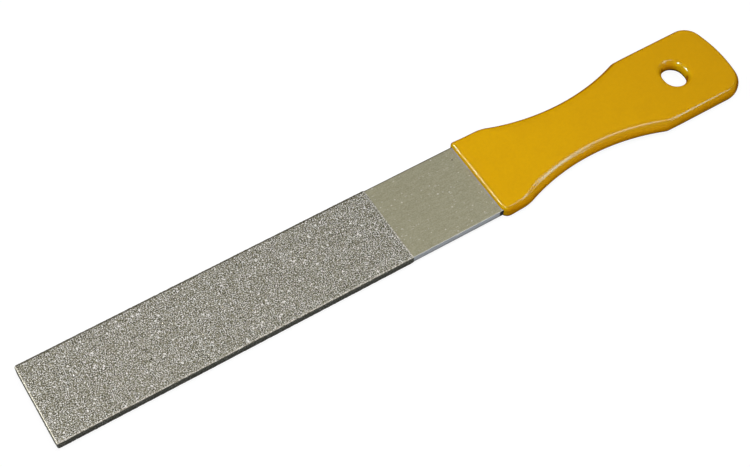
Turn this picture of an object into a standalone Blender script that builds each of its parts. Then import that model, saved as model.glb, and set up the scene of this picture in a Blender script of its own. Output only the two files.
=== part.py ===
"""A flat hand file: a stamped steel blank, a diamond-plated working end and a dip-moulded grip.

Units are metres and +Z is up. The file lies flat with its tip towards -X, the grip's underside on
Z = 0 and the middle of its bounding box over the origin.
"""

import math

import bmesh
import bpy

MM = 0.001

# Lengths along the file, measured from the coated tip.
OVERALL_LENGTH = 256.25 * MM
COATED_LENGTH = 122.05 * MM
LIP_X = 155.15 * MM  # front face of the grip

# The steel blank, one stamping from tip to tang.
BLANK_WIDTH = 29.8 * MM
BLANK_THICKNESS = 2.5 * MM
BLANK_EDGE_ROUND = 0.15 * MM

# The plating. Its layers are far thinner than any fit, so they keep only a hair of clearance.
BOND_THICKNESS = 0.11 * MM
GRIT_THICKNESS = 0.10 * MM
PLATING_GAP = 0.02 * MM
PLATING_BUILD = 2 * PLATING_GAP + BOND_THICKNESS + GRIT_THICKNESS

# The grip: its wall over the steel, its rounded edges, and the outline of its sides.
GRIP_FACE_WALL = 1.25 * MM
GRIP_SIDE_WALL = 1.45 * MM
GRIP_FIT_GAP = 0.3 * MM
GRIP_EDGE_ROUND = 2.25 * MM
GRIP_THICKNESS = BLANK_THICKNESS + 2 * GRIP_FACE_WALL
POCKET_LEAD = 5.0 * MM  # how far the tang pocket's cutter runs out ahead of the lip
FRONT_HALF_WIDTH = BLANK_WIDTH / 2 + GRIP_SIDE_WALL
WAIST_HALF_WIDTH = 11.0 * MM
REAR_HALF_WIDTH = 16.05 * MM
WAIST_X = 194.45 * MM
WAIST_RADIUS = 75.4 * MM
FRONT_SHOULDER_RADIUS = 14.5 * MM
REAR_SHOULDER_RADIUS = 5.0 * MM
LIP_CORNER_RADIUS = 2.4 * MM
REAR_CORNER_RADIUS = 7.8 * MM
END_CROWN_RADIUS = 50.0 * MM

# The hang hole, an obround lying across the grip, punched a little off the centre line.
HOLE_X = 236.45 * MM
HOLE_Y = 0.4 * MM
HOLE_WIDTH = 7.9 * MM
HOLE_LENGTH = 9.1 * MM

# Fineness of the round stretches.
ARC_STEP = math.radians(9.0)
WIDE_ARC_STEP = math.radians(2.5)  # for the long shallow arcs
ROUND_RESOLUTION = 3  # of a curve's bevel
WELD_DISTANCE = 0.0005 * MM
SHARP_EDGE_ANGLE = math.radians(40.0)

COLLECTION_NAME = "flat_file"
CUTTER_COLLECTION_NAME = "cutters"


def clear_scene():
    for obj in list(bpy.data.objects):
        bpy.data.objects.remove(obj, do_unlink=True)


def new_collection(name):
    collection = bpy.data.collections.new(name)
    bpy.context.scene.collection.children.link(collection)
    return collection


def material(name, color, roughness, metallic):
    made = bpy.data.materials.new(name)
    made.use_nodes = True
    shader = made.node_tree.nodes["Principled BSDF"]
    shader.inputs["Base Color"].default_value = (*color, 1.0)
    shader.inputs["Roughness"].default_value = roughness
    shader.inputs["Metallic"].default_value = metallic
    made.diffuse_color = (*color, 1.0)
    return made


def arc(centre, radius, start, end, step=ARC_STEP):
    """Points on a circle from one angle to another, both ends included."""
    count = max(1, round(abs(end - start) / step))
    angles = (start + (end - start) * i / count for i in range(count + 1))
    return [(centre[0] + radius * math.cos(a), centre[1] + radius * math.sin(a)) for a in angles]


def shoulder_centre(half_width, radius, side):
    """Centre of the convex arc between a straight side and the waist arc, ahead of it (-1) or behind (1)."""
    y = half_width - radius
    rise = WAIST_HALF_WIDTH + WAIST_RADIUS - y
    return WAIST_X + side * math.sqrt((WAIST_RADIUS + radius) ** 2 - rise**2), y


def waist_points(inset):
    """The grip's side from the front straight, through both shoulders and the waist, to the rear straight."""
    waist_centre = (WAIST_X, WAIST_HALF_WIDTH + WAIST_RADIUS)
    front = shoulder_centre(FRONT_HALF_WIDTH, FRONT_SHOULDER_RADIUS, -1)
    rear = shoulder_centre(REAR_HALF_WIDTH, REAR_SHOULDER_RADIUS, 1)
    front_meet = math.atan2(waist_centre[1] - front[1], waist_centre[0] - front[0])
    rear_meet = math.atan2(waist_centre[1] - rear[1], waist_centre[0] - rear[0])
    quarter = math.pi / 2
    points = arc(front, FRONT_SHOULDER_RADIUS - inset, quarter, front_meet)
    start, end = front_meet - math.pi, rear_meet - math.pi
    points += arc(waist_centre, WAIST_RADIUS + inset, start, end, WIDE_ARC_STEP)[1:-1]
    points += arc(rear, REAR_SHOULDER_RADIUS - inset, rear_meet, quarter)
    return points


def end_points(inset):
    """The rear corner and the crowned end, down to the centre line."""
    crown_x = OVERALL_LENGTH - END_CROWN_RADIUS
    corner_y = REAR_HALF_WIDTH - REAR_CORNER_RADIUS
    corner_x = crown_x + math.sqrt((END_CROWN_RADIUS - REAR_CORNER_RADIUS) ** 2 - corner_y**2)
    meet = math.atan2(corner_y, corner_x - crown_x)
    points = arc((corner_x, corner_y), REAR_CORNER_RADIUS - inset, math.pi / 2, meet)
    points += arc((crown_x, 0.0), END_CROWN_RADIUS - inset, meet, 0.0, WIDE_ARC_STEP)[1:]
    return points


def lip_points(inset):
    """The front corner of the grip, from the lip to the straight side."""
    centre = (LIP_X + LIP_CORNER_RADIUS, FRONT_HALF_WIDTH - LIP_CORNER_RADIUS)
    return arc(centre, LIP_CORNER_RADIUS - inset, math.pi, math.pi / 2)


def mirrored(side):
    """A closed outline from its +Y side, whose last point lies on the centre line."""
    return side + [(x, -y) for x, y in reversed(side[:-1])]


def hole_outline(grow):
    """The hang hole's obround, with its sides moved outwards by grow."""
    radius = HOLE_WIDTH / 2 + grow
    reach = (HOLE_LENGTH - HOLE_WIDTH) / 2
    far_end = arc((HOLE_X, HOLE_Y + reach), radius, 0.0, math.pi)
    near_end = arc((HOLE_X, HOLE_Y - reach), radius, math.pi, 2 * math.pi)
    return far_end + near_end


def plate(name, outlines, thickness, edge_round, collection):
    """A flat plate of the given outlines, the first its outside and the rest holes, as a closed mesh.

    A rounded edge stands edge_round outside each outline.
    """
    curve = bpy.data.curves.new(name, "CURVE")
    curve.dimensions = "2D"
    curve.fill_mode = "BOTH"
    curve.extrude = thickness / 2 - edge_round
    curve.bevel_depth = edge_round
    curve.bevel_resolution = ROUND_RESOLUTION
    for outline in outlines:
        spline = curve.splines.new("POLY")
        spline.points.add(len(outline) - 1)
        for point, (x, y) in zip(spline.points, outline):
            point.co = (x, y, 0.0, 1.0)
        spline.use_cyclic_u = True
    drawn = bpy.data.objects.new(name, curve)
    collection.objects.link(drawn)
    bpy.context.view_layer.update()
    evaluated = drawn.evaluated_get(bpy.context.evaluated_depsgraph_get())
    mesh = bpy.data.meshes.new_from_object(evaluated)
    weld_caps(mesh)
    solid = bpy.data.objects.new(name, mesh)
    solid.matrix_world = drawn.matrix_world
    bpy.data.objects.remove(drawn, do_unlink=True)
    bpy.data.curves.remove(curve)
    solid.name = name
    collection.objects.link(solid)
    return solid


def weld_caps(mesh):
    """Joins a curve's loose caps to its sides, so that the mesh is closed."""
    shell = bmesh.new()
    shell.from_mesh(mesh)
    bmesh.ops.remove_doubles(shell, verts=shell.verts, dist=WELD_DISTANCE)
    bmesh.ops.recalc_face_normals(shell, faces=shell.faces)
    shell.to_mesh(mesh)
    shell.free()


def shade(obj):
    """Smooth shading that keeps the corners between faces crisp."""
    obj.data.shade_smooth()
    obj.data.set_sharp_from_angle(angle=SHARP_EDGE_ANGLE)


def steel_blank(collection, datum):
    tip_x = PLATING_BUILD
    half_width = BLANK_WIDTH / 2 - BLANK_EDGE_ROUND
    inset = GRIP_SIDE_WALL + BLANK_EDGE_ROUND
    side = [(tip_x + BLANK_EDGE_ROUND, half_width)] + waist_points(inset) + end_points(inset)
    hole = hole_outline(inset)
    blank = plate("steel_blank", [mirrored(side), hole], BLANK_THICKNESS, BLANK_EDGE_ROUND, collection)
    blank.parent = datum
    blank.data.materials.append(material("brushed_steel", (0.56, 0.54, 0.49), 0.34, 1.0))
    shade(blank)
    return blank


def plated_cap(name, clearance, thickness, finish, collection, datum):
    """A thin cap over the blade's faces, edges and tip, open towards the grip.

    Its inner side stands clear of the steel by clearance.
    """
    length = COATED_LENGTH - PLATING_BUILD + clearance
    bpy.ops.mesh.primitive_cube_add(size=1.0)
    cap = bpy.context.active_object
    cap.name = name
    cap.data.name = name
    for owner in list(cap.users_collection):
        owner.objects.unlink(cap)
    collection.objects.link(cap)
    width = BLANK_WIDTH + 2 * clearance
    height = BLANK_THICKNESS + 2 * clearance
    for vertex in cap.data.vertices:
        vertex.co = (vertex.co.x * length, vertex.co.y * width, vertex.co.z * height)
    open_end(cap.data)
    cap.parent = datum
    cap.location = (PLATING_BUILD - clearance + length / 2, 0.0, 0.0)
    wall = cap.modifiers.new("plated wall", "SOLIDIFY")
    wall.thickness = thickness
    wall.offset = 1.0
    wall.use_even_offset = True
    cap.data.materials.append(finish)
    return cap


def open_end(mesh):
    """Takes away the face towards the grip."""
    shell = bmesh.new()
    shell.from_mesh(mesh)
    rear = max(shell.faces, key=lambda face: face.calc_center_median().x)
    bmesh.ops.delete(shell, geom=[rear], context="FACES_ONLY")
    shell.to_mesh(mesh)
    shell.free()


def nickel_bond_layer(collection, datum):
    finish = material("plated_nickel", (0.50, 0.49, 0.45), 0.45, 1.0)
    return plated_cap("nickel_bond_layer", PLATING_GAP, BOND_THICKNESS, finish, collection, datum)


def diamond_grit_layer(collection, datum):
    finish = material("diamond_grit", (0.29, 0.28, 0.23), 0.75, 0.0)
    clearance = 2 * PLATING_GAP + BOND_THICKNESS
    return plated_cap("diamond_grit_layer", clearance, GRIT_THICKNESS, finish, collection, datum)


def tang_pocket(cutters, datum):
    """The space that the tang fills inside the grip, with the fit gap all round and open at the lip."""
    inset = GRIP_SIDE_WALL - GRIP_FIT_GAP
    mouth = (LIP_X - POCKET_LEAD, FRONT_HALF_WIDTH - inset)
    side = [mouth] + waist_points(inset) + end_points(inset)
    height = BLANK_THICKNESS + 2 * GRIP_FIT_GAP
    pocket = plate("tang_pocket", [mirrored(side), hole_outline(inset)], height, 0.0, cutters)
    pocket.parent = datum
    pocket.hide_render = True
    pocket.display_type = "WIRE"
    return pocket


def grip_sleeve(collection, cutters, datum):
    inset = GRIP_EDGE_ROUND
    side = lip_points(inset) + waist_points(inset) + end_points(inset)
    outlines = [mirrored(side), hole_outline(inset)]
    sleeve = plate("grip_sleeve", outlines, GRIP_THICKNESS, GRIP_EDGE_ROUND, collection)
    sleeve.parent = datum
    cut = sleeve.modifiers.new("tang pocket", "BOOLEAN")
    cut.operation = "DIFFERENCE"
    cut.solver = "EXACT"
    cut.object = tang_pocket(cutters, datum)
    sleeve.data.materials.append(material("amber_pvc", (0.72, 0.38, 0.01), 0.18, 0.0))
    shade(sleeve)
    return sleeve


def build():
    clear_scene()
    parts = new_collection(COLLECTION_NAME)
    cutters = new_collection(CUTTER_COLLECTION_NAME)
    # The datum sits at the middle of the coated tip.
    datum = bpy.data.objects.new("tip_datum", None)
    datum.location = (-OVERALL_LENGTH / 2, 0.0, GRIP_THICKNESS / 2)
    parts.objects.link(datum)
    steel_blank(parts, datum)
    nickel_bond_layer(parts, datum)
    diamond_grit_layer(parts, datum)
    grip_sleeve(parts, cutters, datum)


build()
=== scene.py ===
"""A flat hand file on a pale table: brushed steel, a diamond-plated blade and a dipped grip.

Units are metres and +Z is up. The file's tip points towards -X and its underside lies on Z = 0.
"""

import math

import bmesh
import bpy
import numpy as np
from mathutils import Matrix, Vector, noise
from mathutils.geometry import delaunay_2d_cdt


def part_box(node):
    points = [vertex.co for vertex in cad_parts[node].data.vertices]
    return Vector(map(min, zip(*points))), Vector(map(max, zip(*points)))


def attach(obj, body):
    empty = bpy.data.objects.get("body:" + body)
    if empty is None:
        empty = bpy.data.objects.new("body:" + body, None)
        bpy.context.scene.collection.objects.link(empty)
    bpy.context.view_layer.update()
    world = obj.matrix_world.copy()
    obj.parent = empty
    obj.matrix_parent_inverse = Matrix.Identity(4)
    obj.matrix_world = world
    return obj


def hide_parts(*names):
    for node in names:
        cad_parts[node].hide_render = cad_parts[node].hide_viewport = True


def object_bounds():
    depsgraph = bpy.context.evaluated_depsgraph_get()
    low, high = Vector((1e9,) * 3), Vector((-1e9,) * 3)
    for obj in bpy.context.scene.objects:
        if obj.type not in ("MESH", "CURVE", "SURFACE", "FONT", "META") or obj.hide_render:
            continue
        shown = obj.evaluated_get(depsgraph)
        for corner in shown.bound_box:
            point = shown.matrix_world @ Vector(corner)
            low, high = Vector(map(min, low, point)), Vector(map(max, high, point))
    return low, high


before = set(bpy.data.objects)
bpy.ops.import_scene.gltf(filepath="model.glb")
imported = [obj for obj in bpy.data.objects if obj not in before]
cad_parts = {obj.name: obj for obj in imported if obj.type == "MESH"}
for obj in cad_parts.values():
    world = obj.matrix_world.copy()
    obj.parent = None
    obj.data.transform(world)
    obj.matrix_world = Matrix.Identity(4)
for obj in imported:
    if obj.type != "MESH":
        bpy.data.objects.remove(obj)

CAD_LOW, CAD_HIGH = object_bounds()

MM = 0.001
TIP_X = CAD_LOW.x
FILE_CENTRE = (CAD_LOW + CAD_HIGH) / 2
STEEL_LOW, STEEL_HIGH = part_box("steel_blank")
NICKEL_LOW, NICKEL_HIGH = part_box("nickel_bond_layer")
GRIT_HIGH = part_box("diamond_grit_layer")[1]
GRIP_LOW, GRIP_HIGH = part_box("grip_sleeve")

# The grip's outline: two straight widths, a waist arc on each side between them, and corners.
# A side is its waist's place and half width, then the radii of its lip corner and rear corner.
FRONT_HALF_WIDTH = GRIP_HIGH.y
LIP_SETBACK = 0.08 * MM
LIP_X = GRIP_LOW.x + LIP_SETBACK
REAR_HALF_WIDTH = 16.05 * MM
WAIST_RADIUS = 75.4 * MM
FAR_SIDE = (TIP_X + 195.1 * MM, 11.3 * MM, 1.3 * MM, 6.8 * MM)
NEAR_SIDE = (TIP_X + 193.55 * MM, 10.85 * MM, 2.8 * MM, 8.5 * MM)
FRONT_SHOULDER_RADIUS = 14.5 * MM
REAR_SHOULDER_RADIUS = 5.0 * MM
END_CROWN_RADIUS = 50.0 * MM
HOLE_X = TIP_X + 236.45 * MM
HOLE_Y = 0.4 * MM
HOLE_WIDTH = 7.9 * MM
HOLE_LENGTH = 9.1 * MM

# Its edges: how far each rounding reaches in from the outline, and how high it stands.
GRIP_MID_Z = (GRIP_LOW.z + GRIP_HIGH.z) / 2
SIDE_EDGE = (2.05 * MM, 2.25 * MM)
WAIST_EDGE = (3.8 * MM, 2.25 * MM)
LIP_EDGE = (1.0 * MM, 1.2 * MM)
HOLE_EDGE = (2.3 * MM, 2.25 * MM)

# Its mesh: how many points a change of rounding is spread over, either way, the points over each
# rounding and along the outline, the grid of the flats, and the slow waves of a dipped skin.
EDGE_BLEND = 4
EDGE_STEPS = 12
GRIP_POINT_SPACING = 0.8 * MM
GRIP_GRID = 1.5 * MM
GRIP_WAVE = 0.02 * MM
WAVE_LENGTH = 17.0 * MM
WAVE_WIDTH = 9.0 * MM
SHARP_ANGLE = math.radians(40.0)

# The nickel: its roundings, how far it draws in at the tip, and its nodules.
TIP_ROUND = 0.5 * MM
TIP_DROP = 0.55 * MM
CORNER_ROUND = 0.28 * MM
CORNER_STEPS = 5
NICKEL_STEP = 0.4 * MM
NICKEL_ROUGHNESS = 0.012 * MM
NICKEL_NODULE = 0.6 * MM

# Where the nickel stays bare: the blade's corners, the near edge's top and foot, and the rear end.
BARE_CORNER = 0.5 * MM
BARE_TOP = 0.25 * MM
BARE_FOOT = 0.06 * MM
BARE_MARGIN = 0.55 * MM

# The grains: their spacing and, as a share of it, how far they stray from a grid. As shares of
# their height: the lowest grain, a slab's border, and how deep a slab's skirt sinks. The last says
# how much the heights keep to their extremes, the more the lower it is.
GRAIN = 0.27 * MM
GRAIN_JITTER = 0.36
GRAIN_FLOOR = 0.12
BORDER_HEIGHT = GRAIN_FLOOR / 2
SKIRT_DEPTH = 0.2
GRAIN_PEAKS = 0.7

# Their tones, where 0 is the darkest and 1 the whitest: the spread from cell to cell and from facet
# to facet, how much of the local mean is taken out, the tone and share of grains painted white as
# painted glints, and the share of glinting ones.
CELL_SPREAD = 0.36
FACET_SPREAD = 0.45
CRISPNESS = 0.8
SKIRT_TONE = 0.4
GLINT_PAINT_TONE = 1.6
PAINTED_GLINT_SHARE = 0.003
GLINT_SHARE = 0.012
SEED = 7

TABLE_HALF = 1.5

# The Mix node's sockets when it mixes colours.
MIX_FACTOR, MIX_FIRST, MIX_SECOND, MIX_RESULT = 0, 6, 7, 2

# How much of a fleck's radius is solid, and the slopes between which a face stops being one that
# lies flat down.
FLECK_CORE = 0.4
FLAT_DOWN = (-0.98, -0.9)

# The camera: its direction from the point it aims at, near the middle of the file.
VIEW_AZIMUTH = math.radians(-31.68)
VIEW_ELEVATION = math.radians(56.39)
VIEW_DISTANCE = 466.1 * MM
VIEW_AIM = FILE_CENTRE + Vector((-10.775, 0.64, -1.47)) * MM
LENS_MM = 70.55


# --- Node helpers -------------------------------------------------------------------------------


def feed(tree, socket, value):
    """Sets an input, or links it where the value comes from another node."""
    if isinstance(value, bpy.types.NodeSocket):
        tree.links.new(value, socket)
    else:
        socket.default_value = value


def node(tree, kind, settings=None, **inputs):
    """A shader node of this kind. An input is given by name, with _ for a space, or as _0, _1."""
    made = tree.nodes.new("ShaderNode" + kind)
    for name, value in (settings or {}).items():
        setattr(made, name, value)
    for name, value in inputs.items():
        key = int(name[1:]) if name[0] == "_" else name.replace("_", " ")
        feed(tree, made.inputs[key], value)
    return made


def math_node(tree, operation, first, second=0.0):
    return node(tree, "Math", {"operation": operation}, _0=first, _1=second).outputs[0]


def both(tree, first, second):
    """The product of two masks."""
    return math_node(tree, "MULTIPLY", first, second)


def either(tree, first, second):
    """The greater of two masks."""
    return math_node(tree, "MAXIMUM", first, second)


def mix_colour(tree, factor, first, second):
    made = tree.nodes.new("ShaderNodeMix")
    made.data_type = "RGBA"
    feed(tree, made.inputs[MIX_FACTOR], factor)
    feed(tree, made.inputs[MIX_FIRST], first)
    feed(tree, made.inputs[MIX_SECOND], second)
    return made.outputs[MIX_RESULT]


def remap(tree, value, low, high, to_low=0.0, to_high=1.0):
    """Carries low..high over to to_low..to_high, and holds the ends beyond."""
    limits = {"From_Min": low, "From_Max": high, "To_Min": to_low, "To_Max": to_high}
    return node(tree, "MapRange", Value=value, **limits).outputs[0]


def place_mm(tree, scale=(1.0, 1.0, 1.0), turn=0.0):
    """The surface's place in millimetres, turned about Z and stretched."""
    place = node(tree, "TexCoord").outputs["Object"]
    stretch = tuple(s / MM for s in scale)
    turned = node(tree, "Mapping", Vector=place, Rotation=(0.0, 0.0, turn)).outputs[0]
    return node(tree, "Mapping", Vector=turned, Scale=stretch).outputs[0]


def place_parts(tree):
    """The surface's X, Y and Z in millimetres."""
    return tuple(node(tree, "SeparateXYZ", Vector=place_mm(tree)).outputs)


def facing_parts(tree, normal="Normal"):
    """The X, Y and Z of the direction that the surface faces."""
    facing = node(tree, "NewGeometry").outputs[normal]
    return tuple(node(tree, "SeparateXYZ", Vector=facing).outputs)


def cloud(tree, scale, stretch=(1.0, 1.0, 1.0), detail=2.0):
    """Noise with this many waves to the millimetre, stretched."""
    place = place_mm(tree, stretch)
    return node(tree, "TexNoise", Vector=place, Scale=scale, Detail=detail).outputs[0]


def flecks(tree, stretch, size, share, turn=0.0):
    """1 inside small scattered marks, which only this share of the cells hold, and 0 elsewhere."""
    cells = node(tree, "TexVoronoi", Vector=place_mm(tree, stretch, turn), Scale=1.0)
    chosen = node(tree, "SeparateColor", Color=cells.outputs["Color"]).outputs[0]
    held = math_node(tree, "LESS_THAN", chosen, share)
    inside = remap(tree, cells.outputs["Distance"], size, size * FLECK_CORE)
    return both(tree, held, inside)


def underside_shade(tree, facing_z, start, full):
    """The mask for painted shade: 0 to 1 as a rounding turns down from one slope to the other, but
    0 on a flat underside.
    """
    below = remap(tree, facing_z, start, full)
    return both(tree, below, remap(tree, facing_z, *FLAT_DOWN))


def new_material(name):
    """A material, its node tree and its shader."""
    made = bpy.data.materials.new(name)
    made.use_nodes = True
    return made, made.node_tree, made.node_tree.nodes["Principled BSDF"]


# --- Materials ----------------------------------------------------------------------------------


def ground_steel(tree, fine, patchy):
    """The tone of the steel's flats: grinding lines, some bright nicks and scratches, and pits."""
    broad = remap(tree, cloud(tree, 1.0, (0.04, 0.3, 0.3)), 0.3, 0.7)
    tone = mix_colour(tree, broad, (0.422, 0.386, 0.258, 1), (0.449, 0.410, 0.276, 1))
    tone = mix_colour(tree, remap(tree, fine, 0.35, 0.65, 0.0, 0.3), tone, (0.66, 0.63, 0.48, 1))
    speckle = remap(tree, cloud(tree, 2.2), 0.4, 0.65, 0.0, 0.4)
    tone = mix_colour(tree, speckle, tone, (0.27, 0.24, 0.15, 1))
    nicks = flecks(tree, (0.55, 0.7, 0.7), 0.22, 0.4)
    specks = flecks(tree, (1.0, 1.0, 1.0), 0.22, 0.16, 0.7)
    scratches = flecks(tree, (0.3, 1.6, 1.6), 0.2, 0.16, math.radians(8.0))
    slanted = flecks(tree, (1.5, 0.45, 1.0), 0.18, 0.08, math.radians(-24.0))
    bright = either(tree, either(tree, nicks, specks), either(tree, scratches, slanted))
    tone = mix_colour(tree, both(tree, bright, patchy), tone, (0.95, 0.92, 0.84, 1))
    pits = flecks(tree, (0.17, 0.17, 0.17), 0.06, 0.35)
    return mix_colour(tree, pits, tone, (0.10, 0.08, 0.05, 1))


def steel_edges(tree, tone, patchy):
    """Adds painted light and shade: a painted reflection along the grip's lip, a painted highlight
    on the near top edge, sides painted pale with painted shade at their foot, a painted shadow
    where they meet the lip, and painted shade along the far edge and under the edges.
    """
    along, across, up = place_parts(tree)
    _, facing_y, facing_z = facing_parts(tree)
    lip, edge, bottom = LIP_X / MM, STEEL_HIGH.y / MM, STEEL_LOW.z / MM
    # Painted reflection: a bluish band painted on the steel along the grip's lip.
    lip_reflection = both(tree, remap(tree, along, lip - 0.8, lip - 0.35), patchy)
    tone = mix_colour(tree, lip_reflection, tone, (0.42, 0.47, 0.66, 1))
    # Painted highlight: a light line along the near top edge.
    crest_highlight = remap(tree, across, 0.35 - edge, 0.1 - edge)
    tone = mix_colour(tree, crest_highlight, tone, (0.70, 0.68, 0.60, 1))
    # Painted reflection: the side faces are painted pale and bluish, as the table's reflection.
    side = remap(tree, math_node(tree, "ABSOLUTE", facing_y), 0.3, 0.8)
    tone = mix_colour(tree, side, tone, (0.74, 0.76, 0.80, 1))
    # Painted shade: a dark band along the far edge.
    shade = remap(tree, across, edge - 0.45, edge - 0.25)
    tone = mix_colour(tree, shade, tone, (0.11, 0.10, 0.06, 1))
    # Painted shade at the foot of the sides, and a painted shadow where they meet the lip.
    foot = both(tree, remap(tree, up, bottom + 0.9, bottom + 0.3), side)
    lip_shadow = both(tree, remap(tree, along, lip - 1.2, lip - 0.8), side)
    dark = either(tree, both(tree, foot, 0.65), lip_shadow)
    tone = mix_colour(tree, dark, tone, (0.10, 0.10, 0.10, 1))
    tone = mix_colour(tree, lip_shadow, tone, (0.025, 0.025, 0.025, 1))
    # Painted shade on the roundings that turn down.
    under = underside_shade(tree, facing_z, -0.05, -0.3)
    return mix_colour(tree, under, tone, (0.05, 0.05, 0.05, 1))


def brushed_steel():
    """Dull ground steel, half metallic, with its shine drawn out along the grinding lines."""
    made, tree, shader = new_material("brushed_steel")
    fine = cloud(tree, 1.0, (0.35, 2.2, 2.2), 3.0)
    patchy = remap(tree, cloud(tree, 0.25), 0.35, 0.65, 0.2, 0.75)
    tone = steel_edges(tree, ground_steel(tree, fine, patchy), patchy)
    feed(tree, shader.inputs["Base Color"], tone)
    shader.inputs["Metallic"].default_value = 0.5
    feed(tree, shader.inputs["Roughness"], remap(tree, fine, 0.3, 0.7, 0.42, 0.52))
    shader.inputs["Anisotropic"].default_value = 0.3
    brushed = node(tree, "Tangent", {"direction_type": "RADIAL", "axis": "X"}).outputs[0]
    feed(tree, shader.inputs["Tangent"], brushed)
    bump = node(tree, "Bump", Height=fine, Strength=0.2, Distance=0.01 * MM)
    feed(tree, shader.inputs["Normal"], bump.outputs[0])
    return made


def plated_nickel():
    """Dull nodular nickel, darker on the tip, with painted shade on the sides and along the far
    edge.
    """
    made, tree, shader = new_material("plated_nickel")
    _, across, _ = place_parts(tree)
    facing_x, _, facing_z = facing_parts(tree)
    grain = cloud(tree, 2.5, detail=3.0)
    nodules = remap(tree, grain, 0.42, 0.58)
    tone = mix_colour(tree, nodules, (0.33, 0.30, 0.23, 1), (0.90, 0.84, 0.76, 1))
    front = remap(tree, facing_x, -0.15, -0.5)
    tone = mix_colour(tree, front, tone, (0.32, 0.32, 0.24, 1))
    # Painted shade: the sides are painted dark.
    side = remap(tree, facing_z, 0.75, 0.35)
    tone = mix_colour(tree, side, tone, (0.16, 0.16, 0.135, 1))
    edge = NICKEL_HIGH.y / MM
    # Painted shade along the far edge.
    far = remap(tree, across, edge - 0.45, edge - 0.25)
    tone = mix_colour(tree, far, tone, (0.12, 0.11, 0.07, 1))
    feed(tree, shader.inputs["Base Color"], tone)
    shader.inputs["Metallic"].default_value = 0.6
    feed(tree, shader.inputs["Roughness"], remap(tree, grain, 0.3, 0.7, 0.35, 0.5))
    bump = node(tree, "Bump", Height=grain, Strength=0.4, Distance=0.03 * MM)
    feed(tree, shader.inputs["Normal"], bump.outputs[0])
    return made


def grain_tones(tree):
    """A colour for each facet's tone number, from the darkest facets to the white of the painted
    glints.
    """
    tone = node(tree, "Attribute", {"attribute_name": "tone"}).outputs["Fac"]
    drift = remap(tree, cloud(tree, 0.5, detail=3.0), 0.3, 0.7, -0.05, 0.05)
    ramp = node(tree, "ValToRGB", Fac=math_node(tree, "ADD", tone, drift))
    stops = ramp.color_ramp.elements
    stops[0].color = (0.052, 0.047, 0.028, 1)
    stops[1].color = (0.76, 0.73, 0.70, 1)
    middle = stops.new(0.5)
    middle.color = (0.235, 0.217, 0.149, 1)
    return ramp.outputs[0]


def diamond_grit():
    """Each facet has its own tone, and a few are clean enough to glint. The sides are painted dark
    as shade, darker towards their foot, and painted shade lies along the far edge.
    """
    made, tree, shader = new_material("diamond_grit")
    _, across, up = place_parts(tree)
    _, _, facing_z = facing_parts(tree, "True Normal")
    # Painted shade: the sides are painted dark, darker still towards their foot.
    side = remap(tree, math_node(tree, "ABSOLUTE", facing_z), 0.55, 0.25, 0.0, 0.8)
    bottom, edge = NICKEL_LOW.z / MM, NICKEL_HIGH.y / MM
    high = remap(tree, up, bottom + 0.5, bottom + 1.4)
    dark = mix_colour(tree, high, (0.03, 0.032, 0.026, 1), (0.085, 0.09, 0.068, 1))
    colour = mix_colour(tree, side, grain_tones(tree), dark)
    # Painted shade along the far edge.
    far = remap(tree, across, edge - 0.7, edge - 0.35, 0.0, 0.9)
    colour = mix_colour(tree, far, colour, (0.07, 0.062, 0.035, 1))
    glint = node(tree, "Attribute", {"attribute_name": "glint"}).outputs["Fac"]
    feed(tree, shader.inputs["Base Color"], colour)
    feed(tree, shader.inputs["Metallic"], remap(tree, glint, 0.0, 1.0, 0.5, 1.0))
    feed(tree, shader.inputs["Roughness"], remap(tree, glint, 0.0, 1.0, 0.6, 0.25))
    shader.inputs["Specular IOR Level"].default_value = 0.3
    return made


def rim_shade(tree, tone, away, upright, facing_x):
    """Darkens the roundings facing the far side and the rear end, and the hole's only faintly."""
    along, across, _ = place_parts(tree)
    off_centre = math_node(tree, "ABSOLUTE", math_node(tree, "SUBTRACT", across, HOLE_Y / MM))
    behind = remap(tree, along, HOLE_X / MM + 6.0, HOLE_X / MM + 8.0)
    outer = either(tree, remap(tree, off_centre, 5.5, 7.0, 0.3, 1.0), behind)
    steep = remap(tree, upright, 0.7, 0.45)
    rim = both(tree, remap(tree, away, 0.25, 0.4), remap(tree, upright, 0.92, 0.8))
    rim = both(tree, rim, either(tree, outer, steep))
    tone = mix_colour(tree, rim, tone, (0.32, 0.09, 0.002, 1))
    end = both(tree, remap(tree, facing_x, 0.4, 0.7), remap(tree, upright, 0.7, 0.5))
    return mix_colour(tree, both(tree, end, behind), tone, (0.09, 0.03, 0.003, 1))


def skin_drift(tree, tone):
    """Slow drifts and a fine grain in the colour."""
    drift = remap(tree, cloud(tree, 0.12, detail=3.0), 0.35, 0.65, 0.0, 0.25)
    tone = mix_colour(tree, drift, tone, (0.70, 0.352, 0.003, 1))
    grain = remap(tree, cloud(tree, 1.3), 0.35, 0.65, 0.0, 0.14)
    return mix_colour(tree, grain, tone, (0.58, 0.28, 0.003, 1))


def skin_specks(tree, tone):
    """A few pale and dark specks under the gloss."""
    pale = flecks(tree, (0.12, 0.12, 0.12), 0.03, 0.3)
    tone = mix_colour(tree, both(tree, pale, 0.5), tone, (0.95, 0.75, 0.35, 1))
    dark = flecks(tree, (0.10, 0.11, 0.10), 0.022, 0.4, 1.0)
    return mix_colour(tree, both(tree, dark, 0.35), tone, (0.25, 0.12, 0.01, 1))


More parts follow.
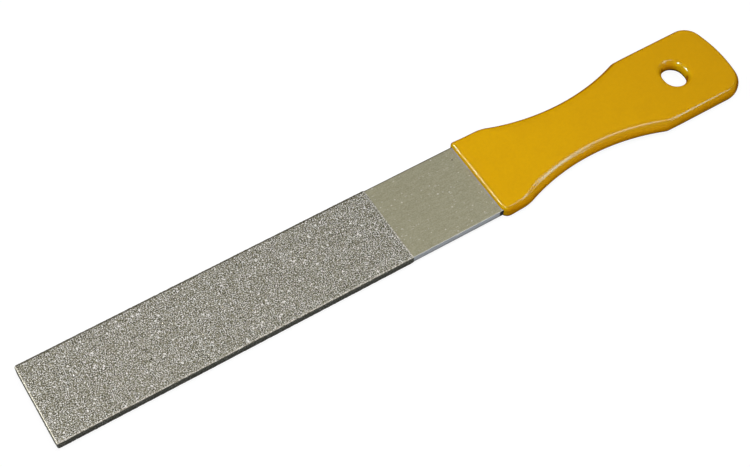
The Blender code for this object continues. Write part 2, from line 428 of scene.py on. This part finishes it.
def amber_pvc():
    """Glossy plastisol, with painted shade on its near side, its far rims and towards its rear,
    painted light on its lip face, and dull where it turns steep.
    """
    made, tree, shader = new_material("amber_pvc")
    facing_x, facing_y, facing_z = facing_parts(tree)
    upright = math_node(tree, "ABSOLUTE", facing_z)
    away = either(tree, facing_y, facing_x)
    along = place_parts(tree)[0]
    # Painted shade: the grip is painted darker towards its rear, as the light falls off.
    rear = remap(tree, along, LIP_X / MM + 20.0, GRIP_HIGH.x / MM)
    tone = mix_colour(tree, rear, (0.79, 0.418, 0.002, 1), (0.745, 0.372, 0.002, 1))
    # Painted shade: the near side's rounding is painted darker.
    turned = remap(tree, facing_y, -0.06, -0.3)
    tone = mix_colour(tree, turned, tone, (0.64, 0.318, 0.002, 1))
    # Painted light: the lip's face towards the tip is painted lighter and yellower.
    lip_face_light = remap(tree, facing_x, -0.25, -0.55)
    tone = mix_colour(tree, lip_face_light, tone, (0.78, 0.47, 0.003, 1))
    # Painted shade: the near side's steep wall is painted darker and redder.
    side = remap(tree, facing_y, -0.45, -0.95)
    tone = mix_colour(tree, side, tone, (0.74, 0.305, 0.002, 1))
    tone = skin_drift(tree, rim_shade(tree, tone, away, upright, facing_x))
    # Painted shade on the roundings that turn down.
    under = underside_shade(tree, facing_z, 0.0, -0.25)
    tone = mix_colour(tree, under, tone, (0.08, 0.025, 0.003, 1))
    feed(tree, shader.inputs["Base Color"], skin_specks(tree, tone))
    feed(tree, shader.inputs["Roughness"], remap(tree, cloud(tree, 0.6), 0.3, 0.7, 0.10, 0.12))
    shine = both(tree, remap(tree, upright, 0.6, 0.75), remap(tree, away, 0.35, 0.15))
    feed(tree, shader.inputs["Specular IOR Level"], both(tree, shine, 0.5))
    shader.inputs["Specular Tint"].default_value = (0.48, 0.88, 1.0, 1.0)
    skin = cloud(tree, 0.5, detail=1.0)
    bump = node(tree, "Bump", Height=skin, Strength=0.03, Distance=0.2 * MM)
    feed(tree, shader.inputs["Normal"], bump.outputs[0])
    return made


# --- Mesh helpers -------------------------------------------------------------------------------


def new_piece(name, mesh, material, node_name):
    """Puts a mesh in the scene as a piece of the file, in place of this CAD node."""
    made = bpy.data.objects.new(name, mesh)
    bpy.context.scene.collection.objects.link(made)
    mesh.materials.clear()
    mesh.materials.append(material)
    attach(made, "root")
    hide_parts(node_name)
    return made


def loft(rings):
    """Quad faces between closed rings of point numbers, each ring as long as the last."""
    faces = []
    for low, high in zip(rings, rings[1:]):
        count = len(low)
        for i in range(count):
            j = (i + 1) % count
            faces.append((low[i], low[j], high[j], high[i]))
    return faces


def finish_mesh(name, points, faces, smooth=True):
    """A mesh of these points and faces, its faces turned outwards."""
    mesh = bpy.data.meshes.new(name)
    mesh.from_pydata([tuple(p) for p in points], [], faces)
    shell = bmesh.new()
    shell.from_mesh(mesh)
    bmesh.ops.recalc_face_normals(shell, faces=shell.faces)
    shell.to_mesh(mesh)
    shell.free()
    if smooth:
        mesh.shade_smooth()
        mesh.set_sharp_from_angle(angle=SHARP_ANGLE)
    return mesh


# --- The grip -----------------------------------------------------------------------------------


def arc_stations(centre, radius, start, end, edge, hollow=False):
    """Stations along an arc: place, outward direction, and the reach and rise of the rounding.

    On a hollow arc the outward direction points to the arc's centre.
    """
    count = max(4, round(abs(end - start) * radius / GRIP_POINT_SPACING))
    stations = []
    for i in range(count):
        angle = start + (end - start) * i / count
        out = np.array((math.cos(angle), math.sin(angle)))
        stations.append((np.array(centre) + radius * out, -out if hollow else out, edge))
    return stations


def straight_stations(start, end, out, edge):
    start, end = np.array(start), np.array(end)
    count = max(2, round(np.linalg.norm(end - start) / GRIP_POINT_SPACING))
    return [(start + (end - start) * i / count, np.array(out), edge) for i in range(count)]


def shoulder_centre(half_width, radius, waist, sense):
    """Centre of the convex arc between a straight side and the waist arc.

    It lies ahead of the waist where sense is -1, and behind it where sense is 1.
    """
    y = half_width - radius
    rise = waist[1] - y
    return waist[0] + sense * math.sqrt((WAIST_RADIUS + radius) ** 2 - rise**2), y


def half_outline(side):
    """One side of the grip, drawn at +Y, from mid-lip to the middle of the rear end."""
    waist_x, waist_half_width, lip_radius, rear_radius = side
    quarter = math.pi / 2
    waist = (waist_x, waist_half_width + WAIST_RADIUS)
    front = shoulder_centre(FRONT_HALF_WIDTH, FRONT_SHOULDER_RADIUS, waist, -1)
    rear = shoulder_centre(REAR_HALF_WIDTH, REAR_SHOULDER_RADIUS, waist, 1)
    front_meet = math.atan2(waist[1] - front[1], waist[0] - front[0])
    rear_meet = math.atan2(waist[1] - rear[1], waist[0] - rear[0])
    lip_corner = (LIP_X + lip_radius, FRONT_HALF_WIDTH - lip_radius)
    crown_x = GRIP_HIGH.x - END_CROWN_RADIUS
    corner_y = REAR_HALF_WIDTH - rear_radius
    corner_x = crown_x + math.sqrt((END_CROWN_RADIUS - rear_radius) ** 2 - corner_y**2)
    corner_meet = math.atan2(corner_y, corner_x - crown_x)
    edge = SIDE_EDGE
    line = straight_stations((LIP_X, 0.0), (LIP_X, lip_corner[1]), (-1.0, 0.0), LIP_EDGE)
    line += arc_stations(lip_corner, lip_radius, math.pi, quarter, LIP_EDGE)
    line += straight_stations(
        (lip_corner[0], FRONT_HALF_WIDTH), (front[0], FRONT_HALF_WIDTH), (0.0, 1.0), edge
    )
    line += arc_stations(front, FRONT_SHOULDER_RADIUS, quarter, front_meet, edge)
    line += arc_stations(
        waist, WAIST_RADIUS, front_meet - math.pi, rear_meet - math.pi, WAIST_EDGE, True
    )
    line += arc_stations(rear, REAR_SHOULDER_RADIUS, rear_meet, quarter, WAIST_EDGE)
    line += straight_stations(
        (rear[0], REAR_HALF_WIDTH), (corner_x, REAR_HALF_WIDTH), (0.0, 1.0), edge
    )
    line += arc_stations((corner_x, corner_y), rear_radius, quarter, corner_meet, edge)
    line += arc_stations((crown_x, 0.0), END_CROWN_RADIUS, corner_meet, 0.0, edge)
    end = (np.array((GRIP_HIGH.x, 0.0)), np.array((1.0, 0.0)), edge)
    return line + [end]


def outer_stations():
    """The whole outline: the far side from lip to rear end, then the near side back to the lip."""
    near = half_outline(NEAR_SIDE)[-2:0:-1]
    flip = np.array((1.0, -1.0))
    return half_outline(FAR_SIDE) + [(place * flip, out * flip, edge) for place, out, edge in near]


def hole_stations():
    """The hang hole's obround; its outward direction points into the hole."""
    radius = HOLE_WIDTH / 2
    half = (HOLE_LENGTH - HOLE_WIDTH) / 2
    far, near = (HOLE_X, HOLE_Y + half), (HOLE_X, HOLE_Y - half)
    right, left = HOLE_X + radius, HOLE_X - radius
    stations = arc_stations(far, radius, 0.0, math.pi, HOLE_EDGE, True)
    stations += straight_stations((left, far[1]), (left, near[1]), (1.0, 0.0), HOLE_EDGE)
    stations += arc_stations(near, radius, math.pi, 2 * math.pi, HOLE_EDGE, True)
    stations += straight_stations((right, near[1]), (right, far[1]), (-1.0, 0.0), HOLE_EDGE)
    return stations


def eased_edges(stations):
    """The stations with their roundings averaged along the outline, to change gradually."""
    edges = np.array([edge for _, _, edge in stations])
    span = range(-EDGE_BLEND, EDGE_BLEND + 1)
    for _ in range(2):
        edges = sum(np.roll(edges, k, axis=0) for k in span) / len(span)
    return [(place, out, edge) for (place, out, _), edge in zip(stations, edges)]


def wave(x, y, side):
    """The slight unevenness of a dipped skin, different on the two sides."""
    return GRIP_WAVE * noise.noise(Vector((x / WAVE_LENGTH, y / WAVE_WIDTH, side * 5.0)))


def edge_rings(stations, points):
    """Rings of points round one outline, from the top's flat over the edge to the underside."""
    half = (GRIP_HIGH.z - GRIP_LOW.z) / 2
    rings = []
    for side in (1, -1):
        for step in range(EDGE_STEPS + 1):
            angle = math.pi / 2 * (EDGE_STEPS - step if side > 0 else step) / EDGE_STEPS
            ring = []
            for place, out, (reach, rise) in stations:
                x, y = place - out * reach * (1 - math.cos(angle))
                z = GRIP_MID_Z + side * (half - rise * (1 - math.sin(angle)))
                z -= side * abs(wave(x, y, side)) * math.sin(angle)
                ring.append(len(points))
                points.append((x, y, z))
            rings.append(ring)
    return rings


def inside(points, outline):
    """For each point, True where it lies within the closed outline."""
    x, y = points[:, :1], points[:, 1:]
    ax, ay = outline[:, 0], outline[:, 1]
    bx, by = np.roll(ax, -1), np.roll(ay, -1)
    crosses = (ay > y) != (by > y)
    with np.errstate(divide="ignore", invalid="ignore"):
        at = ax + (y - ay) * (bx - ax) / (by - ay)
    return (crosses & (x < at)).sum(axis=1) % 2 == 1


def fill_flat(points, outer, hole, side):
    """Triangles of one flat face of the grip, over a grid between the outer ring and the hole's."""
    rim = [points[i][:2] for i in outer]
    rim_hole = [points[i][:2] for i in hole]
    outline, hole_line = np.array(rim), np.array(rim_hole)
    low, high = outline.min(axis=0), outline.max(axis=0)
    grid_x, grid_y = np.meshgrid(
        np.arange(low[0], high[0], GRIP_GRID), np.arange(low[1], high[1], GRIP_GRID)
    )
    grid = np.stack([grid_x.ravel(), grid_y.ravel()], axis=1)
    grid = grid[inside(grid, outline) & ~inside(grid, hole_line)]
    borders = np.concatenate([outline, hole_line])
    clear = np.array([np.min(np.sum((borders - g) ** 2, axis=1)) for g in grid])
    grid = grid[clear > (GRIP_GRID * 0.5) ** 2]
    edges = [(i, (i + 1) % len(rim)) for i in range(len(rim))]
    start = len(rim)
    edges += [(start + i, start + (i + 1) % len(rim_hole)) for i in range(len(rim_hole))]
    flat = [Vector(p) for p in rim + rim_hole + [tuple(g) for g in grid]]
    placed, _, triangles, origins, _, _ = delaunay_2d_cdt(flat, edges, [], 0, 1e-9, True)
    numbers = list(outer) + list(hole)
    for x, y in grid:
        numbers.append(len(points))
        z = GRIP_MID_Z + side * ((GRIP_HIGH.z - GRIP_LOW.z) / 2 - abs(wave(x, y, side)))
        points.append((x, y, z))
    centres = np.array([np.mean([placed[v] for v in t], axis=0) for t in triangles])
    kept = inside(centres, outline) & ~inside(centres, hole_line)
    return [
        tuple(numbers[origins[v][0]] for v in t) for t, keep in zip(triangles, kept) if keep
    ]


def grip(material):
    """The sleeve as one smooth skin, with the pocket that the tang fills cut out of it."""
    points = []
    outer = edge_rings(eased_edges(outer_stations()), points)
    hole = edge_rings(hole_stations(), points)
    faces = loft(outer) + loft(hole)
    faces += fill_flat(points, outer[0], hole[0], 1)
    faces += fill_flat(points, outer[-1], hole[-1], -1)
    body = bpy.data.objects.new("grip_body", finish_mesh("grip_body", points, faces))
    bpy.context.scene.collection.objects.link(body)
    pocket = body.modifiers.new("tang pocket", "BOOLEAN")
    pocket.operation = "DIFFERENCE"
    pocket.solver = "EXACT"
    pocket.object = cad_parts["steel_blank"]
    bpy.context.view_layer.update()
    evaluated = body.evaluated_get(bpy.context.evaluated_depsgraph_get())
    mesh = bpy.data.meshes.new_from_object(evaluated)
    bpy.data.objects.remove(body, do_unlink=True)
    mesh.name = "grip"
    mesh.shade_smooth()
    mesh.set_sharp_from_angle(angle=SHARP_ANGLE)
    return new_piece("grip", mesh, material, "grip_sleeve")


# --- The plated blade ---------------------------------------------------------------------------


def section(x, low, high, radius, points, rough=0.0):
    """Adds the points of a rounded rectangle across the blade at x, and gives their numbers."""
    mid_z = (low.z + high.z) / 2
    half_width, half_height = high.y - radius, (high.z - low.z) / 2 - radius
    ring = []
    for turn, (side_y, side_z) in enumerate(((1, 1), (-1, 1), (-1, -1), (1, -1))):
        for step in range(CORNER_STEPS + 1):
            angle = math.pi / 2 * (turn + step / CORNER_STEPS)
            y = side_y * half_width + radius * math.cos(angle)
            z = mid_z + side_z * half_height + radius * math.sin(angle)
            bump = rough * noise.noise(Vector((x, y, z)) / NICKEL_NODULE)
            ring.append(len(points))
            points.append((x, y + bump * math.cos(angle), z + bump * math.sin(angle)))
    return ring


def shrunk(low, high, inset):
    """A box drawn in by this much across the blade."""
    trim = Vector((0.0, inset, inset))
    return low + trim, high - trim


def nickel_bed(material):
    """The plated skin round the blade: hollow, with a rounded tip and a step at its rear end."""
    wall = NICKEL_HIGH.z - STEEL_HIGH.z
    tip, end = NICKEL_LOW.x, NICKEL_HIGH.x
    points, rings = [], []
    for step in range(CORNER_STEPS, 0, -1):
        angle = math.pi / 2 * step / CORNER_STEPS
        x = tip + TIP_ROUND * (1 - math.sin(angle))
        low, high = shrunk(NICKEL_LOW, NICKEL_HIGH, TIP_DROP * (1 - math.cos(angle)))
        rings.append(section(x, low, high, CORNER_ROUND, points, NICKEL_ROUGHNESS))
    count = round((end - wall - tip - TIP_ROUND) / NICKEL_STEP)
    for x in np.linspace(tip + TIP_ROUND, end - wall / 2, count):
        rings.append(
            section(float(x), NICKEL_LOW, NICKEL_HIGH, CORNER_ROUND, points, NICKEL_ROUGHNESS)
        )
    for x, inset in ((end, wall / 2), (end, wall), (tip + wall, wall)):
        low, high = shrunk(NICKEL_LOW, NICKEL_HIGH, inset)
        rings.append(section(x, low, high, CORNER_ROUND - inset, points))
    faces = loft(rings) + [tuple(rings[0]), tuple(rings[-1])]
    mesh = finish_mesh("nickel_bed", points, faces)
    return new_piece("nickel_bed", mesh, material, "nickel_bond_layer")


def crisp_noise(rng, rows, columns):
    """Random tones with their neighbourhood's mean taken out, so that no large blotches show."""
    raw = rng.normal(size=(rows, columns))
    padded = np.pad(raw, 1, mode="edge")
    shifts = [(i, j) for i in range(3) for j in range(3)]
    mean = sum(padded[i : i + rows, j : j + columns] for i, j in shifts) / len(shifts)
    return raw - CRISPNESS * mean


def grain_points(shape, length, width, rng):
    """Each grain corner's place along and across, and its height from 0 to 1."""
    rows, columns = shape
    u = np.repeat(np.linspace(0.0, length, rows), columns)
    v = np.tile(np.linspace(0.0, width, columns), rows)
    u += rng.uniform(-1, 1, u.size) * GRAIN * GRAIN_JITTER
    v += rng.uniform(-1, 1, v.size) * GRAIN * GRAIN_JITTER
    height = GRAIN_FLOOR + (1 - GRAIN_FLOOR) * rng.beta(GRAIN_PEAKS, GRAIN_PEAKS, u.size)
    border = np.ones(shape, bool)
    border[1:-1, 1:-1] = False
    height[border.ravel()] = BORDER_HEIGHT
    return u, v, height


def grain_facets(index, rng):
    """Two triangles for each cell of the grid, split along either diagonal at random."""
    a, b = index[:-1, :-1].ravel(), index[1:, :-1].ravel()
    c, d = index[1:, 1:].ravel(), index[:-1, 1:].ravel()
    flip = rng.random(a.size)[:, None] < 0.5
    first = np.where(flip, np.stack([a, b, c], 1), np.stack([a, b, d], 1))
    second = np.where(flip, np.stack([a, c, d], 1), np.stack([b, c, d], 1))
    return np.concatenate([first, second]).tolist()


def skirt_faces(loop, first_under):
    """Walls from the slab's rim down to the points under it, and the flat that closes it below."""
    under = np.arange(len(loop)) + first_under
    walls = []
    for k in range(len(loop)):
        n = (k + 1) % len(loop)
        walls.append((loop[k], under[k], under[n], loop[n]))
    return walls + [tuple(under[::-1])]


def paint_facets(mesh, shape, rng):
    """Gives each facet its tone, with a few grains painted white as painted glints, and marks the
    few that glint.
    """
    cell_shape = (shape[0] - 1, shape[1] - 1)
    tone = 0.5 + CELL_SPREAD * np.tile(crisp_noise(rng, *cell_shape).ravel(), 2)
    tone += FACET_SPREAD * (rng.random(len(tone)) - 0.5)
    # Painted glints: a few pairs of cells painted white.
    painted_glints = rng.random(cell_shape) < PAINTED_GLINT_SHARE
    painted_glints |= np.roll(painted_glints, 1, axis=0)
    painted_glints |= np.roll(painted_glints, 1, axis=1)
    tone[np.tile(painted_glints.ravel(), 2)] = GLINT_PAINT_TONE
    tones = np.full(len(mesh.polygons), SKIRT_TONE, np.float32)
    tones[: len(tone)] = tone
    glints = np.zeros(len(mesh.polygons), np.float32)
    glints[: len(tone)] = rng.random(len(tone)) < GLINT_SHARE
    for attribute, values in (("tone", tones), ("glint", glints)):
        mesh.attributes.new(attribute, "FLOAT", "FACE").data.foreach_set("value", values)


def grit_patch(name, corner, along, across, length, width, depth, material, rng):
    """A slab of faceted grains on one flat of the blade.

    It starts at a corner of that flat and runs length along and width across. The grains stand up
    to depth out of the nickel, along the cross product of the two directions.
    """
    out = np.cross(along, across)
    shape = (max(3, round(length / GRAIN) + 1), max(3, round(width / GRAIN) + 1))
    index = np.arange(shape[0] * shape[1]).reshape(shape)
    u, v, height = grain_points(shape, length, width, rng)
    place = np.array(corner) + np.outer(u, along) + np.outer(v, across)
    top = place + np.outer(depth * height, out)
    faces = grain_facets(index, rng)
    loop = np.concatenate([index[:, 0], index[-1, 1:], index[-2::-1, -1], index[0, -2:0:-1]])
    sunk = place[loop] - out * depth * SKIRT_DEPTH
    faces += skirt_faces(loop, len(top))
    mesh = finish_mesh(name, np.concatenate([top, sunk]), faces, smooth=False)
    paint_facets(mesh, shape, rng)
    return new_piece(name, mesh, material, "diamond_grit_layer")


def grit(material):
    """Grains over both faces, both edges and the tip of the blade, clear of its bright corners."""
    rng = np.random.default_rng(SEED)
    low, high = np.array(NICKEL_LOW), np.array(NICKEL_HIGH)
    depth = GRIT_HIGH.z - NICKEL_HIGH.z
    x, y, z = np.eye(3)
    near, far = low + BARE_CORNER, high - BARE_CORNER
    start, foot = low[0] + TIP_ROUND, low[2] + BARE_FOOT
    length = high[0] - BARE_MARGIN - start
    width, rise = far[1] - near[1], high[2] - foot
    tip_low, tip_rise = low[2] + TIP_DROP, high[2] - low[2] - 2 * TIP_DROP
    patches = (
        ("grit_upper_face", (start, near[1], high[2]), x, y, length, width + BARE_CORNER),
        ("grit_lower_face", (start, far[1], low[2]), x, -y, length, width),
        ("grit_near_edge", (start, low[1], foot), x, z, length, rise - BARE_TOP),
        ("grit_far_edge", (start, high[1], high[2]), x, -z, length, rise),
        ("grit_tip", (low[0], far[1] - TIP_DROP, tip_low), -y, z, width - 2 * TIP_DROP, tip_rise),
    )
    for name, corner, along, across, reach, span in patches:
        grit_patch(name, corner, along, across, reach, span, depth, material, rng)


# --- The studio ---------------------------------------------------------------------------------


def table_top():
    """A pale table, white to the camera, that throws only a grey table's light back on the file."""
    half = TABLE_HALF
    corners = ((-half, -half, 0.0), (half, -half, 0.0), (half, half, 0.0), (-half, half, 0.0))
    mesh = bpy.data.meshes.new("table_top")
    mesh.from_pydata(corners, [], [(0, 1, 2, 3)])
    table = bpy.data.objects.new("table_top", mesh)
    bpy.context.scene.collection.objects.link(table)
    made, tree, shader = new_material("pale_table")
    seen = node(tree, "LightPath").outputs["Is Camera Ray"]
    to_file, to_camera, glow = (0.34, 0.34, 0.35, 1), (0.12, 0.12, 0.12, 1), 0.92
    feed(tree, shader.inputs["Base Color"], mix_colour(tree, seen, to_file, to_camera))
    shader.inputs["Roughness"].default_value = 1.0
    shader.inputs["Specular IOR Level"].default_value = 0.0
    shader.inputs["Emission Color"].default_value = (1.0, 1.0, 1.0, 1.0)
    feed(tree, shader.inputs["Emission Strength"], both(tree, seen, glow))
    mesh.materials.append(made)


def studio_light(
    name, towards, distance, size, radiance, colour=(1, 1, 1), along=(0, 1, 0), seen=""
):
    """A soft rectangular light in this direction from the file, facing it, its length turned along.

    Seen says what it's for: "gloss" shows only in reflections, and "matte" lights without one.
    """
    towards = Vector(towards).normalized()
    lamp = bpy.data.lights.new(name, "AREA")
    lamp.shape = "RECTANGLE"
    lamp.size, lamp.size_y = size
    lamp.energy = radiance * math.pi * size[0] * size[1]
    lamp.color = colour
    made = bpy.data.objects.new(name, lamp)
    made.visible_glossy = seen != "matte"
    made.visible_diffuse = seen != "gloss"
    bpy.context.scene.collection.objects.link(made)
    made.location = FILE_CENTRE + towards * distance
    length = Vector(along)
    length = (length - towards * length.dot(towards)).normalized()
    made.rotation_mode = "QUATERNION"
    turned = Matrix((length, towards.cross(length), towards)).transposed()
    made.rotation_quaternion = turned.to_quaternion()


def studio():
    """The lamps that light the file, those that only gleam on it, and the dim room round them."""
    table_top()
    matte, gloss = {"seen": "matte"}, {"seen": "gloss"}
    pale_cyan, pale_blue = (0.85, 1.0, 1.0), (0.70, 0.95, 1.0)
    slant = (0.27, -0.23, -0.18)
    studio_light("left_lamp", (-0.63, 0.46, 0.61), 1.5, (0.14, 0.14), 70.0, **matte)
    studio_light("top_lamp", (-0.46, -0.19, 0.87), 1.5, (0.12, 0.12), 60.0, **matte)
    studio_light("right_lamp", (0.50, -0.15, 0.855), 1.2, (0.34, 0.58), 4.2, pale_cyan, **matte)
    studio_light("corner_lamp", (0.66, 0.08, 0.75), 1.2, (0.18, 0.42), 8.0, **matte)
    studio_light("overhead_fill", (-0.177, 0.0, 1.0), 0.305, (0.15, 0.15), 5.4, **matte)
    studio_light("front_fill", (-0.3, -0.9, 0.3), 1.5, (1.2, 0.8), 1.4, along=(1, 0, 0), **matte)
    studio_light("left_gleam", (-0.60, 0.46, 0.65), 1.5, (0.40, 0.10), 100.0, **gloss)
    studio_light("top_gleam", (-0.40, -0.20, 0.89), 1.5, (0.24, 0.22), 66.0, **gloss)
    studio_light("long_gleam", (0.50, -0.09, 0.86), 1.2, (0.58, 0.17), 5.7, along=slant, **gloss)
    studio_light("end_gleam", (0.535, -0.16, 0.81), 1.2, (0.82, 0.09), 4.6, pale_blue, **gloss)
    world = bpy.data.worlds.new("studio")
    world.use_nodes = True
    background = world.node_tree.nodes["Background"]
    background.inputs["Color"].default_value = (0.06, 0.06, 0.06, 1.0)
    bpy.context.scene.world = world
    bpy.context.scene.view_settings.view_transform = "Standard"


def camera():
    """A camera at the photo's angle."""
    level = math.cos(VIEW_ELEVATION)
    back = Vector((
        math.sin(VIEW_AZIMUTH) * level, -math.cos(VIEW_AZIMUTH) * level, math.sin(VIEW_ELEVATION)
    ))
    lens = bpy.data.cameras.new("camera")
    lens.lens = LENS_MM
    made = bpy.data.objects.new("camera", lens)
    bpy.context.scene.collection.objects.link(made)
    made.location = VIEW_AIM + back * VIEW_DISTANCE
    made.rotation_mode = "QUATERNION"
    made.rotation_quaternion = (-back).to_track_quat("-Z", "Y")
    bpy.context.scene.camera = made


def main():
    """Dresses the CAD's steel, and puts the other pieces, the camera and the studio round it."""
    camera()
    studio()
    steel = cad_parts["steel_blank"]
    steel.data.materials.clear()
    steel.data.materials.append(brushed_steel())
    nickel_bed(plated_nickel())
    grit(diamond_grit())
    grip(amber_pvc())


main()
